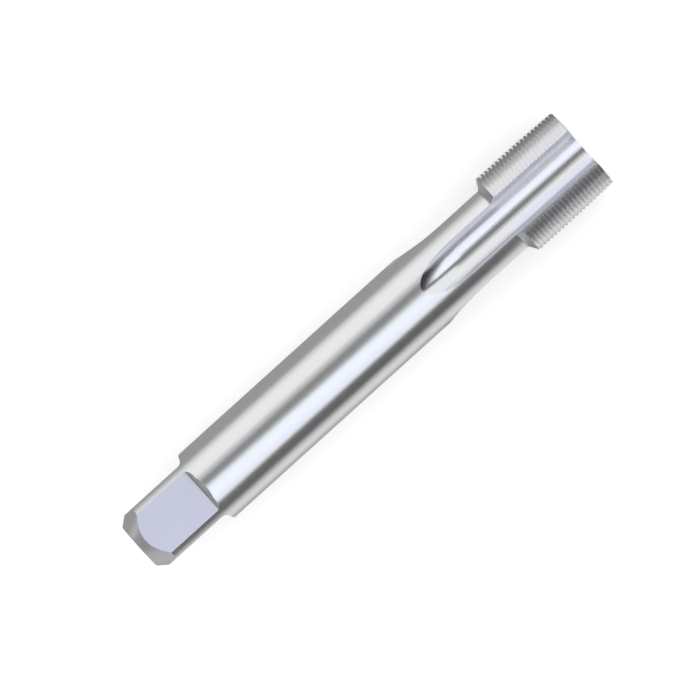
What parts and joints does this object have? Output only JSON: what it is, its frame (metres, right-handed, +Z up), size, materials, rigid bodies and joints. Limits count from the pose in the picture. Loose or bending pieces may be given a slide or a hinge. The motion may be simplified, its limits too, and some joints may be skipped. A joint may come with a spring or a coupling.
{
  "type": "thread tap",
  "caption": "Straight-fluted machine tap with a plain round shank and a driving square, for cutting a fine right-hand inside thread.",
  "frame": {"origin": "under the middle of the tool's length, on the surface that it lies on", "axes": "+X along the tool towards its cutting end, +Z up, with one flute facing up"},
  "size_m": [0.125, 0.0202, 0.0202],
  "materials": {
    "ground_steel": "bright high-speed steel, round ground on the shank and milled in the flutes"
  },
  "bodies": {
    "root": {"thread_tap": "ground_steel"}
  },
  "joints": []
}
